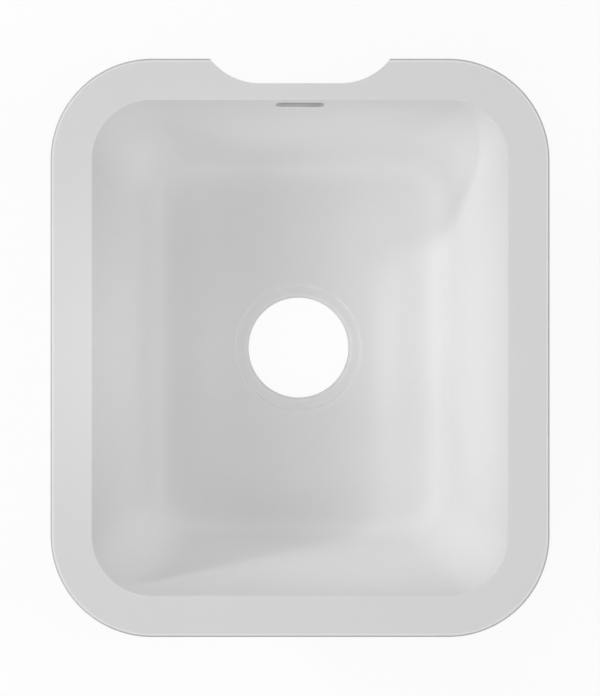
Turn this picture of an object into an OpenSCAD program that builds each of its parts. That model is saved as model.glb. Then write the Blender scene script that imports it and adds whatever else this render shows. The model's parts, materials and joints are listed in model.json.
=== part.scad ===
// Undermount kitchen sink bowl in cast solid surface, with its overflow assembly.
// The origin is the centre of the underside, +Z is up and +Y is the rear (tap) side.

/* [Bowl] */
// Width of the opening at the rim, left to right
bowl_w = 368; // [330:1:450]
// Length of the opening at the rim, front to rear
bowl_l = 438; // [400:1:520]
// Corner radius of the opening at the rim, seen from above
rim_corner_r = 53; // [45:1:65]
// Depth from the rim to the floor round the drain
bowl_depth = 178; // [165:1:215]
// Lean of the walls from the vertical, in degrees
wall_slope = 17; // [14:0.5:18]
// Thickness of the walls, square to their face
wall_t = 10; // [9:0.5:12]
// Thickness of the floor round the drain
floor_t = 12; // [10:0.5:15]
// Rise of the floor from the drain to the foot of the walls
floor_fall = 3; // [1:0.5:5]
// Radius of the round between walls and floor, inside
floor_round_r = 32; // [24:1:38]
// Corner radius of the floor, seen from above
floor_corner_r = 22; // [16:1:30]
// Radius of the flat patch of floor round the drain
drain_patch_r = 60; // [58:1:70]

/* [Flange] */
// Width of the bonding flange
flange_w = 36.5; // [34:0.5:50]
// Thickness of the flange
flange_t = 10; // [8:0.5:12]
// Distance that the flange's side leans in from bottom to top
flange_draft = 0.9; // [0.2:0.1:2]
// Radius of the flange's upper outer edge
flange_edge_r = 1.2; // [0.4:0.1:2]

/* [Tap notch] */
// Radius of the two arcs of the notch
notch_r = 56; // [45:1:60]
// Straight length between the two arcs
notch_straight = 71; // [40:1:90]
// Distance from the rim to the notch's straight edge
notch_ledge = 14.8; // [14:0.1:18]

/* [Drain] */
// Diameter of the drain hole
drain_d = 88.9; // [80:0.1:92]
// Radius of the rounded lip of the drain hole
drain_lip_r = 3.5; // [2:0.5:5]
// Diameter of the recess round the drain, at its top
recess_d = 113; // [108:0.5:115]
// Depth of the recess
recess_depth = 2; // [1:0.1:3]
// Width of the recess's sloping step, seen from above
recess_step = 1.8; // [1:0.1:3]

/* [Overflow slot] */
// Width of the slot
slot_w = 43; // [35:1:48]
// Height of the slot along the wall
slot_h = 13.9; // [13:0.1:15]
// Depth of the slot's upper edge below the rim
slot_drop = 8.4; // [8:0.1:9]
// Corner radius of the slot
slot_corner_r = 5.5; // [2:0.5:5.5]
// Fall of the slot outwards, in degrees from the horizontal
slot_slope = 38; // [34:1:42]

/* [Overflow housing] */
// Width of the housing's mounting plate
plate_w = 97; // [94:1:110]
// Height of the mounting plate along the wall
plate_h = 82; // [76:1:90]
// Thickness of the mounting plate
plate_t = 3; // [2.5:0.1:3.5]
// Outer corner radius of the mounting plate
plate_corner_r = 6; // [3:0.5:8]
// Width of the chamber behind the slot, outside
chamber_w = 65; // [60:1:68]
// Wall thickness of the chamber and its socket
housing_t = 2.5; // [2:0.1:3]
// Distance from the flange down to the chamber's floor
chamber_drop = 76; // [70:1:80]
// Distance that the housing stays inside the notch's straight edge, seen from above
housing_inset = 1.5; // [1:0.1:3]
// Thickness of the gasket
gasket_t = 2; // [1.5:0.1:2.5]
// Width of the gasket above the chamber
gasket_rim = 3.5; // [3:0.1:3.8]
// Gap between the flange and the plate's top edge
plate_gap = 1; // [0.5:0.1:1.5]

/* [Fasteners] */
// Distance between the screws, left to right
screw_pitch_x = 81; // [79:1:84]
// Distance between the screws along the wall
screw_pitch_v = 50; // [40:1:54]
// Distance from the plate's top edge to the upper screws
screw_edge = 14; // [10:0.5:18]
// Diameter of the screws' shank
screw_d = 4; // [3:0.5:5]
// Length of the screws under the head
screw_l = 12; // [11:0.5:12.5]
// Diameter of the screws' head
screw_head_d = 7.6; // [7:0.1:9]
// Height of the screws' head
screw_head_h = 2.8; // [2:0.1:3.5]
// Thickness of the washers
washer_t = 0.8; // [0.5:0.1:1.2]
// Outer diameter of the washers
washer_d = 9; // [8:0.5:10]
// Outer diameter of the threaded inserts
insert_d = 6.8; // [6.5:0.1:7.5]
// Length of the threaded inserts
insert_l = 7.2; // [6.5:0.1:7.5]

/* [Outlet] */
// Diameter of the outlet socket's bore
socket_d = 20; // [18:0.5:22]
// Length of the socket below the chamber
socket_l = 20; // [18:0.5:24]
// Bore through the elbow
elbow_bore_d = 12.6; // [10:0.2:13]
// Fall of the hose tail, in degrees from the horizontal
tail_slope = 45; // [30:1:50]
// Radius of the elbow's bend, along its middle
bend_r = 14; // [11:1:18]
// Length of the hose tail from the bend to its tip
tail_l = 38; // [34:1:44]
// Diameter of the hose tail between its barbs
tail_d = 18; // [17:0.5:19]
// Diameter of the collar under the socket
collar_d = 24; // [23:0.5:25]
// Thickness of the collar under the socket
collar_t = 3; // [2:0.5:4]
// Diameter of the collar that stops the hose
hose_stop_d = 22; // [21:0.5:24]
// Thickness of the hose stop
hose_stop_t = 3; // [2:0.5:4]
// Diameter of the hose tail's barbs
barb_d = 20.8; // [20:0.2:22]
// Number of barbs
barb_count = 3; // [2:1:3]
// Pitch of the barbs
barb_pitch = 7.5; // [6:0.5:8]
// Length of the flat crest of each barb
barb_crest = 1; // [0.6:0.1:1.5]
// Cord diameter of the O-ring
o_ring_t = 1.9; // [1.6:0.1:2]
// Thickness of the retaining clip
clip_t = 1.5; // [1.2:0.1:1.8]
// Depth of the clip's groove in the elbow
clip_groove_depth = 1.7; // [1.4:0.1:2]
// Distance from the socket's end to the middle of the clip
clip_drop = 6.7; // [5:0.1:8]

/* [Clearances] */
// Gap between flat faces that are pressed together
seat_gap = 0.05; // [0.02:0.01:0.1]
// Radial gap between the elbow and its socket
running_gap = 0.06; // [0.03:0.01:0.1]
// Radial gap round the screws in the plate, gasket and washers
screw_gap = 0.3; // [0.2:0.05:0.5]
// Gap between parts that move past each other
moving_gap = 0.3; // [0.2:0.05:0.5]
// Gap round the clip in its groove and windows
clip_gap = 0.1; // [0.05:0.01:0.2]

/* [Hidden] */
$fn = 64;

// Steps in each plan corner and along each straight side of a ring
corner_steps = 14;
side_steps = 6;
// Steps across the floor, round its edge, up the walls and over the flange's edge
floor_steps = 4;
round_steps = 9;
wall_steps = 6;
edge_steps = 3;
// How far cutters run past the faces that they cut
past = 1;

half_w = bowl_w / 2;
half_l = bowl_l / 2;
total_h = bowl_depth + floor_t;
lean = tan(wall_slope);
wall_run = wall_t / cos(wall_slope);
flange_z = total_h - flange_t;
floor_edge_z = floor_t + floor_fall;
// Run of the round along the floor, from the corner where wall and floor would meet
round_run = tan((90 - wall_slope) / 2);
floor_inset = (total_h - floor_edge_z) * lean + floor_round_r * round_run;
outer_round_r = floor_round_r + wall_t;
corner_fall = rim_corner_r - floor_corner_r;
// How the plan corners tighten towards the floor: slowly at the rim, quickly at the foot
corner_power = 1.6;

// Plan radius of the inside corners where the section lies this far in from the rim
function corner_r(inset) = rim_corner_r - corner_fall * pow(max(inset, 0) / floor_inset, corner_power);

// Centre of one of the four corner arcs of a rounded rectangle
function corner_centre(k, a, b, r) = let (q = k % 4)
  [(q == 0 || q == 3) ? a - r : r - a, q < 2 ? b - r : r - b];

// A rounded rectangle at height z, counter-clockwise seen from above: half sizes a and b, radius r
function ring(a, b, r, z) = [
  for (k = [0:3])
    let (c = corner_centre(k, a, b, r), d = corner_centre(k + 1, a, b, r))
    each concat(
      [for (i = [0:corner_steps])
        let (t = 90 * k + 90 * i / corner_steps)
        [c.x + r * cos(t), c.y + r * sin(t), z]],
      [for (i = [1:side_steps - 1])
        let (f = i / side_steps, t = 90 * (k + 1))
        [c.x + f * (d.x - c.x) + r * cos(t), c.y + f * (d.y - c.y) + r * sin(t), z]]
    )
];

// The same ring drawn towards a circle round the drain: f is 0 at the circle and 1 at the ring
function floor_ring(f) = [
  for (p = ring(half_w - floor_inset, half_l - floor_inset, floor_corner_r, 0))
    let (t = atan2(p.y, p.x))
    [
      drain_patch_r * cos(t) * (1 - f) + p.x * f,
      drain_patch_r * sin(t) * (1 - f) + p.y * f,
      floor_t + floor_fall * f * f * (3 - 2 * f)
    ]
];

// Inset and height on a round of radius r whose sharp corner lies at this inset and height
function round_point(inset, z, r, turn) = [
  inset + r * round_run - r * sin(turn),
  z + r * (1 - cos(turn))
];

// Rings of the inside, from the drain patch up past the rim
inner_rings = concat(
  [for (i = [0:floor_steps - 1]) floor_ring(i / floor_steps)],
  [for (i = [0:round_steps])
    let (p = round_point((total_h - floor_edge_z) * lean, floor_edge_z, floor_round_r,
                         (90 - wall_slope) * i / round_steps))
    ring(half_w - p.x, half_l - p.x, corner_r(p.x), p.y)],
  let (foot_z = floor_edge_z + floor_round_r * (1 - sin(wall_slope)))
  [for (i = [1:wall_steps])
    let (z = foot_z + (total_h + past - foot_z) * i / wall_steps, inset = (total_h - z) * lean)
    ring(half_w - inset, half_l - inset, corner_r(inset), z)]
);

// One ring of the outside, this far in from the rim
function outer_ring(inset, z) = ring(
  half_w - inset, half_l - inset, corner_r(inset + wall_run) + wall_run, z
);

// One ring of the flange's side, this far in from its outline
function flange_ring(inset, z) = ring(
  half_w + flange_w - inset, half_l + flange_w - inset, rim_corner_r + flange_w - inset, z
);

// Rings of the outside, from the flat underside up over the flange
outer_rings = concat(
  [for (i = [0:round_steps])
    let (p = round_point(total_h * lean - wall_run, 0, outer_round_r,
                         (90 - wall_slope) * i / round_steps))
    outer_ring(p.x, p.y)],
  let (foot_z = outer_round_r * (1 - sin(wall_slope)))
  [for (i = [1:wall_steps])
    let (z = foot_z + (flange_z - foot_z) * i / wall_steps)
    outer_ring((total_h - z) * lean - wall_run, z)],
  [flange_ring(0, flange_z)],
  [for (i = [0:edge_steps])
    let (t = 90 * i / edge_steps)
    flange_ring(flange_draft + flange_edge_r * (1 - cos(t)),
                total_h - flange_edge_r * (1 - sin(t)))]
);

// A closed solid through a stack of rings, lowest first, with a fan of triangles at each end
module loft(rings) {
  n = len(rings[0]);
  top = len(rings) - 1;
  count = n * (top + 1);
  sides = [
    for (s = [0:top - 1])
      for (i = [0:n - 1])
        let (j = (i + 1) % n, a = s * n, b = a + n)
        each [[a + i, b + i, b + j], [a + i, b + j, a + j]]
  ];
  bottom_cap = [for (i = [0:n - 1]) [count, i, (i + 1) % n]];
  top_cap = [for (i = [0:n - 1]) [count + 1, top * n + (i + 1) % n, top * n + i]];
  centres = [[0, 0, rings[0][0].z], [0, 0, rings[top][0].z]];
  polyhedron(
    points = concat([for (r = rings) each r], centres),
    faces = concat(sides, bottom_cap, top_cap)
  );
}

// A rectangle with round corners, centred
module rounded_plate(w, h, r, t) {
  linear_extrude(t) union() {
    square([w - 2 * r, h], center = true);
    square([w, h - 2 * r], center = true);
    for (x = [-1, 1], y = [-1, 1]) translate([x * (w / 2 - r), y * (h / 2 - r)]) circle(r);
  }
}

// Takes away a groove of this length round an upright pin, centred on z = 0
module groove_cut(inner, outer, l) {
  translate([0, 0, -l / 2]) difference() {
    cylinder(r = outer, h = l);
    translate([0, 0, -past]) cylinder(r = inner, h = l + 2 * past);
  }
}

// Turns local Z outwards and down by this angle, at a point of the plane x = 0
module facing_out(y, z, down) {
  translate([0, y, z]) rotate([-90 - down, 0, 0]) rotate([0, 0, 180]) children();
}

// Rear outer face of the bowl: v runs up the wall from the flange, w runs out from the wall
wall_top_y = half_l + wall_run - flange_t * lean;
function on_wall_y(v, w) = wall_top_y + v * sin(wall_slope) + w * cos(wall_slope);
function on_wall_z(v, w) = flange_z + v * cos(wall_slope) - w * sin(wall_slope);
module on_wall(v, w) {
  facing_out(on_wall_y(v, w), on_wall_z(v, w), wall_slope) children();
}

// An outline in the plane x = 0, given as [y, z] points, made this wide about that plane
module across(w, points) {
  translate([-w / 2, 0, 0]) rotate([90, 0, 90]) linear_extrude(w) polygon(points);
}

// Overflow slot
slot_mid_drop = slot_drop + slot_h * cos(wall_slope) / 2;
slot_mid_y = half_l - slot_mid_drop * lean;
slot_mid_z = total_h - slot_mid_drop;
slot_run = wall_run / cos(slot_slope) + slot_h;
module slot_cut() {
  facing_out(slot_mid_y, slot_mid_z, slot_slope) translate([0, 0, -slot_h / 2])
    rounded_plate(slot_w, slot_h * cos(slot_slope - wall_slope), slot_corner_r, slot_run);
}

// Drain: through hole, rounded lip and stepped recess
drain_r = drain_d / 2;
recess_z = floor_t - recess_depth;
recess_top_r = recess_d / 2;
recess_foot_r = recess_top_r - recess_step;
module drain_cut() {
  translate([0, 0, -past]) cylinder(r = drain_r, h = floor_t + 2 * past);
  translate([0, 0, recess_z]) cylinder(r1 = recess_foot_r, r2 = recess_top_r, h = recess_depth);
  translate([0, 0, floor_t]) cylinder(r = recess_top_r, h = past);
  rotate_extrude() difference() {
    translate([drain_r - past, recess_z - drain_lip_r]) square([drain_lip_r + past, drain_lip_r + past]);
    translate([drain_r + drain_lip_r, recess_z - drain_lip_r]) circle(drain_lip_r);
  }
}

// Tap notch in the rear flange
notch_y = half_l + notch_ledge;
module notch_cut() {
  translate([0, notch_y + notch_r, flange_z - past]) linear_extrude(flange_t + 2 * past) union() {
    square([notch_straight, 2 * notch_r], center = true);
    for (x = [-1, 1]) translate([x * notch_straight / 2, 0]) circle(notch_r);
  }
}

// Places of the four screws on the rear wall
plate_top_v = -plate_gap;
screw_top_v = plate_top_v - screw_edge;
module at_screws(w) {
  for (x = [-1, 1], v = [screw_top_v, screw_top_v - screw_pitch_v])
    on_wall(v, w) translate([x * screw_pitch_x / 2, 0, 0]) children();
}

module bowl() {
  color([0.86, 0.86, 0.86]) difference() {
    loft(outer_rings);
    loft(inner_rings);
    drain_cut();
    notch_cut();
    slot_cut();
    at_screws(-insert_l - seat_gap) cylinder(d = insert_d, h = insert_l + seat_gap + past);
  }
}

// Inserts have two grip grooves, as long as the lands between them
groove_l = insert_l / 5;
groove_depth = 0.3;
module overflow_inserts() {
  color([0.87, 0.76, 0.51]) at_screws(-insert_l) difference() {
    cylinder(d = insert_d - 2 * seat_gap, h = insert_l - seat_gap);
    translate([0, 0, -past]) cylinder(d = screw_d + 2 * seat_gap, h = insert_l + 2 * past);
    for (k = [1.5, 3.5]) translate([0, 0, k * groove_l])
      groove_cut(insert_d / 2 - seat_gap - groove_depth, insert_d / 2 + past, groove_l);
  }
}

// Chamber of the housing, as outlines in the plane x = 0
chamber_floor_z = flange_z - chamber_drop;
housing_rear_y = notch_y - housing_inset;
plate_w0 = gasket_t + 2 * seat_gap;
chamber_top_v = plate_top_v - gasket_rim;
function wall_line_y(z, w) = wall_top_y - (flange_z - z) * lean + w / cos(wall_slope);
chamber_outline = [
  [on_wall_y(plate_top_v, plate_w0), on_wall_z(plate_top_v, plate_w0)],
  [wall_line_y(chamber_floor_z, plate_w0), chamber_floor_z],
  [housing_rear_y, chamber_floor_z],
  [housing_rear_y, on_wall_z(plate_top_v, plate_w0 + plate_t)],
  [on_wall_y(plate_top_v, plate_w0 + plate_t), on_wall_z(plate_top_v, plate_w0 + plate_t)]
];
chamber_top_z = on_wall_z(chamber_top_v, plate_w0);
chamber_inside_z = chamber_floor_z + housing_t;
chamber_inside = [
  [wall_line_y(chamber_top_z, -past), chamber_top_z],
  [wall_line_y(chamber_inside_z, -past), chamber_inside_z],
  [housing_rear_y - housing_t, chamber_inside_z],
  [housing_rear_y - housing_t, chamber_top_z]
];
module chamber_cut() {
  across(chamber_w - 2 * housing_t, chamber_inside);
}

// Plate outline shared by the gasket and the housing, from w outwards
module wall_plate(w, t) {
  difference() {
    on_wall(plate_top_v - plate_h / 2, w) rounded_plate(plate_w, plate_h, plate_corner_r, t);
    chamber_cut();
    at_screws(w - past) cylinder(d = screw_d + 2 * screw_gap, h = t + 2 * past);
  }
}

module overflow_gasket() {
  color([0.15, 0.15, 0.16]) wall_plate(seat_gap, gasket_t);
}

// Outlet socket below the chamber
socket_r = socket_d / 2;
socket_outer_r = socket_r + housing_t;
outlet_y = housing_rear_y - socket_outer_r;
socket_end_z = chamber_floor_z - socket_l;
elbow_bore_r = elbow_bore_d / 2;
// Widening of the chamber's outlet over the elbow's bore
outlet_relief = 1;
// The clip's two legs run left to right, one on each side of the elbow's groove
clip_z = socket_end_z + clip_drop;
clip_groove_r = socket_r - clip_groove_depth;
clip_leg_y = clip_groove_r + clip_gap;
clip_leg_w = clip_groove_depth - clip_gap;
module clip_legs(start, end, gap) {
  for (y = [clip_leg_y, -clip_leg_y - clip_leg_w])
    translate([start, y - gap, -clip_t / 2 - gap])
      cube([end - start, clip_leg_w + 2 * gap, clip_t + 2 * gap]);
}

module overflow_housing() {
  color([0.87, 0.87, 0.86]) difference() {
    union() {
      wall_plate(plate_w0, plate_t);
      across(chamber_w, chamber_outline);
      translate([0, outlet_y, socket_end_z]) cylinder(r = socket_outer_r, h = socket_l + housing_t / 2);
    }
    chamber_cut();
    translate([0, outlet_y, socket_end_z - past]) cylinder(r = socket_r, h = socket_l + past);
    translate([0, outlet_y, chamber_floor_z - past])
      cylinder(r = elbow_bore_r + outlet_relief, h = housing_t + 2 * past);
    translate([0, outlet_y, clip_z]) clip_legs(-socket_outer_r - past, socket_outer_r + past, clip_gap);
  }
}

washer_w0 = plate_w0 + plate_t + seat_gap;
module overflow_washers() {
  color([0.78, 0.78, 0.79]) at_screws(washer_w0) difference() {
    cylinder(d = washer_d, h = washer_t);
    translate([0, 0, -past]) cylinder(d = screw_d + screw_gap, h = washer_t + 2 * past);
  }
}

head_w0 = washer_w0 + washer_t + seat_gap;
// Hexagonal key hole in the screws' heads
key_depth = 1.7;
key_d = 3.2;
module overflow_screws() {
  color([0.78, 0.78, 0.79]) at_screws(head_w0 - screw_l) difference() {
    union() {
      cylinder(d = screw_d, h = screw_l);
      translate([0, 0, screw_l]) cylinder(d = screw_head_d, h = screw_head_h);
    }
    translate([0, 0, screw_l + screw_head_h - key_depth]) cylinder(d = key_d, h = key_depth + past, $fn = 6);
  }
}

// Elbow: spigot up into the socket, bend, and a hose tail that falls to the right
spigot_r = socket_r - running_gap;
spigot_top_z = chamber_floor_z - moving_gap;
collar_z = socket_end_z - moving_gap - collar_t;
// The bend starts just below the collar
bend_z = collar_z - past;
bend_turn = 90 - tail_slope;
// Depth that each barb's small end dips into the tail
barb_sink = 1;
// Widening of the bore where the bend meets the hose tail
bend_relief = 0.4;
// O-ring groove, halfway between the clip and the spigot's top, and longer than the ring
ring_side_gap = 0.6;
ring_z = (clip_z + spigot_top_z) / 2;
ring_groove_r = socket_r - o_ring_t - 2 * seat_gap;
ring_groove_l = o_ring_t + ring_side_gap;
ring_mid_r = ring_groove_r + seat_gap + o_ring_t / 2;

// The bend of a pipe of this radius, and the frame at its end with local Z along the hose tail
module elbow_bend(r) {
  translate([bend_r, 0, bend_z]) rotate([-90, 0, 180])
    rotate_extrude(angle = bend_turn) translate([bend_r, 0]) circle(r);
}
module at_tail() {
  translate([bend_r * (1 - cos(bend_turn)), 0, bend_z - bend_r * sin(bend_turn)])
    rotate([0, 90 + tail_slope, 0]) children();
}

// A barb, with its flat crest towards the hose stop
module barb() {
  cylinder(d = barb_d, h = barb_crest);
  translate([0, 0, barb_crest])
    cylinder(d1 = barb_d, d2 = tail_d - barb_sink, h = barb_pitch - barb_crest);
}

module outlet_elbow() {
  color([0.68, 0.69, 0.70]) translate([0, outlet_y, 0]) difference() {
    union() {
      translate([0, 0, collar_z]) cylinder(r = spigot_r, h = spigot_top_z - collar_z);
      translate([0, 0, collar_z]) cylinder(d = collar_d, h = collar_t);
      translate([0, 0, bend_z]) cylinder(d = tail_d, h = collar_z + collar_t - bend_z);
      elbow_bend(tail_d / 2);
      at_tail() cylinder(d = tail_d, h = tail_l);
      at_tail() translate([0, 0, -hose_stop_t / 2]) cylinder(d = hose_stop_d, h = hose_stop_t);
      for (k = [1:barb_count])
        at_tail() translate([0, 0, tail_l - k * barb_pitch]) barb();
    }
    union() {
      translate([0, 0, bend_z]) cylinder(r = elbow_bore_r, h = spigot_top_z - bend_z + past);
      elbow_bend(elbow_bore_r);
      at_tail() sphere(r = elbow_bore_r + bend_relief);
      at_tail() cylinder(r = elbow_bore_r, h = tail_l + past);
    }
    translate([0, 0, ring_z]) groove_cut(ring_groove_r, socket_r + past, ring_groove_l);
    translate([0, 0, clip_z]) groove_cut(clip_groove_r, socket_r + past, clip_t + 2 * clip_gap);
  }
}

module outlet_o_ring() {
  color([0.15, 0.15, 0.16]) translate([0, outlet_y, ring_z])
    rotate_extrude() translate([ring_mid_r, 0]) circle(d = o_ring_t);
}

module outlet_clip() {
  bridge_x = -socket_outer_r - moving_gap - clip_leg_w;
  color([0.78, 0.78, 0.79]) translate([0, outlet_y, clip_z]) union() {
    clip_legs(bridge_x, socket_outer_r - clip_leg_w, 0);
    translate([bridge_x, -socket_r, -clip_t / 2]) cube([clip_leg_w, 2 * socket_r, clip_t]);
  }
}

bowl();
overflow_inserts();
overflow_gasket();
overflow_housing();
overflow_washers();
overflow_screws();
outlet_elbow();
outlet_o_ring();
outlet_clip();
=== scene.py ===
"""Looks of the sink bowl: casting, overflow parts, finishes, light and camera. Lengths are in metres."""
import json
import math

import bmesh
import bpy
from mathutils import Matrix, Vector


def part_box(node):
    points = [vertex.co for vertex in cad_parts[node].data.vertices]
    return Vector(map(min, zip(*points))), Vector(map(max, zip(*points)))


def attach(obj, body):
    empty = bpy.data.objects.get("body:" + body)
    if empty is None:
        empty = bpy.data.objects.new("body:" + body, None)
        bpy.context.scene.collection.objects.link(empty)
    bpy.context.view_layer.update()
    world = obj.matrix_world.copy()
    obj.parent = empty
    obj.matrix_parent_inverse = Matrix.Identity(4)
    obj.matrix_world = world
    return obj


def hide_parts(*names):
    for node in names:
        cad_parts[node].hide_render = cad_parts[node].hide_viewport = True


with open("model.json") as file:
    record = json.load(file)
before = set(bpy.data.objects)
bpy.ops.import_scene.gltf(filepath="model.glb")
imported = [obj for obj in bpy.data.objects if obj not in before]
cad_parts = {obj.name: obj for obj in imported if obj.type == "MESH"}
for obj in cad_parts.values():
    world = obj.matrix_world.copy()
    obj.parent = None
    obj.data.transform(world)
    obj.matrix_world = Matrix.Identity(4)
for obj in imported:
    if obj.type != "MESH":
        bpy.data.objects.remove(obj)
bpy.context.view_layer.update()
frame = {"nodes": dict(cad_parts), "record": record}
mounts = {m["name"]: m for m in frame["record"]["mounts"]}
MM = 0.001

# Driving sizes of the casting, as the model's source has them
BOWL_W = 368 * MM
BOWL_L = 438 * MM
RIM_CORNER_R = 53 * MM
WALL_SLOPE = math.radians(17)
WALL_T = 10 * MM
FLOOR_T = 12 * MM
FLOOR_FALL = 3 * MM
FLOOR_ROUND_R = 32 * MM
FLOOR_CORNER_R = 22 * MM
CORNER_POWER = 1.6
DRAIN_PATCH_R = 60 * MM
FLANGE_T = 10 * MM
FLANGE_DRAFT = 0.9 * MM
FLANGE_EDGE_R = 1.2 * MM
RIM_EDGE_R = 0.5 * MM
NOTCH_R = 56 * MM
NOTCH_STRAIGHT = 71 * MM
DRAIN_LIP_R = 3.5 * MM
RECESS_TOP_R = 56.5 * MM
RECESS_STEP = 1.8 * MM
SLOT_W = 43 * MM
SLOT_H = 13.9 * MM
SLOT_DROP = 8.4 * MM
SLOT_CORNER_R = 5.5 * MM
SLOT_SLOPE = math.radians(38)

# Driving sizes of the overflow assembly
PLATE_W = 97 * MM
PLATE_H = 82 * MM
PLATE_T = 3 * MM
PLATE_CORNER_R = 6 * MM
PLATE_GAP = 1 * MM
CHAMBER_W = 65 * MM
CHAMBER_DROP = 76 * MM
HOUSING_T = 2.5 * MM
HOUSING_INSET = 1.5 * MM
GASKET_T = 2 * MM
GASKET_RIM = 3.5 * MM
SCREW_PITCH_X = 81 * MM
SCREW_PITCH_V = 50 * MM
SCREW_EDGE = 14 * MM
SCREW_R = 2 * MM
SCREW_L = 12 * MM
SCREW_HEAD_R = 3.8 * MM
SCREW_HEAD_H = 2.8 * MM
WASHER_R = 4.5 * MM
WASHER_T = 0.8 * MM
INSERT_R = 3.4 * MM
INSERT_L = 7.2 * MM
SOCKET_R = 10 * MM
SOCKET_L = 20 * MM
ELBOW_BORE_R = 6.3 * MM
OUTLET_RELIEF = 1 * MM
TAIL_TURN = math.radians(45)
BEND_R = 14 * MM
TAIL_R = 9 * MM
TAIL_L = 38 * MM
COLLAR_R = 12 * MM
COLLAR_T = 3 * MM
HOSE_STOP_R = 11 * MM
HOSE_STOP_T = 3 * MM
BARB_R = 10.4 * MM
BARB_PITCH = 7.5 * MM
BARB_CREST = 1 * MM
BARB_SINK = 0.5 * MM
BARBS = 3
O_RING_T = 1.9 * MM
CLIP_T = 1.5 * MM
CLIP_GROOVE_DEPTH = 1.7 * MM
CLIP_DROP = 6.7 * MM
CLIP_BEND_R = 2.6 * MM
SEAT_GAP = 0.05 * MM
RUNNING_GAP = 0.06 * MM
SCREW_GAP = 0.3 * MM
MOVING_GAP = 0.3 * MM
CLIP_GAP = 0.1 * MM
RING_SIDE_GAP = 0.6 * MM

# How far a cutter stands past what it cuts
PAST = 1 * MM
MOUTH_PAST = 3 * MM
SLOT_PAST = 4 * MM

# Small forms that only the finished meshes have
ARRIS_IN = 2.9 * MM
STEP_SOFT = 0.4 * MM
SLOT_LIP_R = 0.8 * MM
EDGE_SOFT = 0.2 * MM
HEAD_EDGE_R = 1.3 * MM
KEY_R = 1.6 * MM
KEY_DEPTH = 1.7 * MM
SCREW_LEAD = 0.35 * SCREW_R
PLATE_EDGE_R = 0.8 * MM
CHAMBER_EDGE_R = 2 * MM
SOCKET_LIP = 0.6 * MM
SOCKET_CORNER = 0.3 * SOCKET_LIP

# The clip's section near its tips: distance from the tip in widths of the leg, and share of the full size
CLIP_TIP = ((0, 0.55), (1 / 3, 0.8), (1, 1))

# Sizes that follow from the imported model
bowl_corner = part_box("bowl")[1]
TOTAL_H = bowl_corner.z
FLANGE_W = bowl_corner.x - BOWL_W / 2
NOTCH_Y = mounts["tap_notch"]["pos_m"][1]
DRAIN_R = mounts["drain_hole"]["dims"]["r_mm"] * MM
RECESS_Z = mounts["drain_seat"]["pos_m"][2]

# Sizes that follow from those of the casting
LEAN = math.tan(WALL_SLOPE)
WALL_RUN = WALL_T / math.cos(WALL_SLOPE)
FLANGE_Z = TOTAL_H - FLANGE_T
FLOOR_EDGE_Z = FLOOR_T + FLOOR_FALL
ROUND_TURN = math.pi / 2 - WALL_SLOPE
ROUND_RUN = math.tan(ROUND_TURN / 2)
FLOOR_INSET = (TOTAL_H - FLOOR_EDGE_Z) * LEAN + FLOOR_ROUND_R * ROUND_RUN
OUTER_ROUND_R = FLOOR_ROUND_R + WALL_T
RECESS_FOOT_R = RECESS_TOP_R - RECESS_STEP

# Rear wall's outside: v runs up it from the flange, w out of it
WALL_UP = Vector((0, math.sin(WALL_SLOPE), math.cos(WALL_SLOPE)))
WALL_OUT = Vector((0, math.cos(WALL_SLOPE), -math.sin(WALL_SLOPE)))
WALL_TOP = Vector((0, BOWL_L / 2 + WALL_RUN - FLANGE_T * LEAN, FLANGE_Z))

# Sizes that follow from those of the overflow assembly
PLATE_W0 = GASKET_T + 2 * SEAT_GAP
WASHER_W0 = PLATE_W0 + PLATE_T + SEAT_GAP
HEAD_W0 = WASHER_W0 + WASHER_T + SEAT_GAP
CHAMBER_FLOOR_Z = FLANGE_Z - CHAMBER_DROP
HOUSING_REAR_Y = NOTCH_Y - HOUSING_INSET
SOCKET_OUTER_R = SOCKET_R + HOUSING_T
OUTLET_Y = HOUSING_REAR_Y - SOCKET_OUTER_R
SOCKET_END_Z = CHAMBER_FLOOR_Z - SOCKET_L
CLIP_Z = SOCKET_END_Z + CLIP_DROP
CLIP_SLIT = CLIP_T / 2 + CLIP_GAP
CLIP_GROOVE_R = SOCKET_R - CLIP_GROOVE_DEPTH
CLIP_LEG_W = CLIP_GROOVE_DEPTH - CLIP_GAP
SPIGOT_TOP_Z = CHAMBER_FLOOR_Z - MOVING_GAP
SPIGOT_R = SOCKET_R - RUNNING_GAP
COLLAR_Z = SOCKET_END_Z - MOVING_GAP - COLLAR_T
BEND_Z = COLLAR_Z - PAST
BEND_RUN = BEND_R * TAIL_TURN
TIP_RUN = BEND_RUN + TAIL_L
O_RING_Z = (CLIP_Z + SPIGOT_TOP_Z) / 2
O_RING_GROOVE = (O_RING_T + RING_SIDE_GAP) / 2
O_RING_GROOVE_R = SOCKET_R - O_RING_T - 2 * SEAT_GAP

# Mesh fineness: steps of each round, bend, wall or floor
CORNER_STEPS = 36
SIDE_STEPS = 36
FLOOR_STEPS = 12
ROUND_STEPS = 24
WALL_STEPS = 10
EDGE_STEPS = 5
ARRIS_STEPS = 2
BEND_FINENESS = 20
LIP_STEPS = 8
BEND_STEPS = 10
NOTCH_STEPS = 64
SLOT_CORNER_STEPS = 10
PLATE_CORNER_STEPS = 8
CHAMBER_EDGE_STEPS = 5
SOFT_STEPS = 3
HEAD_STEPS = 5
TURN_STEPS = 48
SOCKET_STEPS = 72

# Where rings of the casting lie, as shares of the way across
RECESS_SHARES = (0, 0.3, 0.7)
STEP_SHARES = ((0.12, 0.08), (0.5, 0.5), (0.88, 0.92))
RIM_SHARES = ((0.35, 0.35), (0.0, 0.1))
FLAT_SHARES = (0.03, 0.5, 0.97)
SIDE_SHARES = (0.1, 0.9)
UNDERSIDE_SHARES = (0.05, 0.35, 0.7, 0.97)
WALL_SHARES = (0.02, *[i / WALL_STEPS for i in range(1, WALL_STEPS)])

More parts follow.
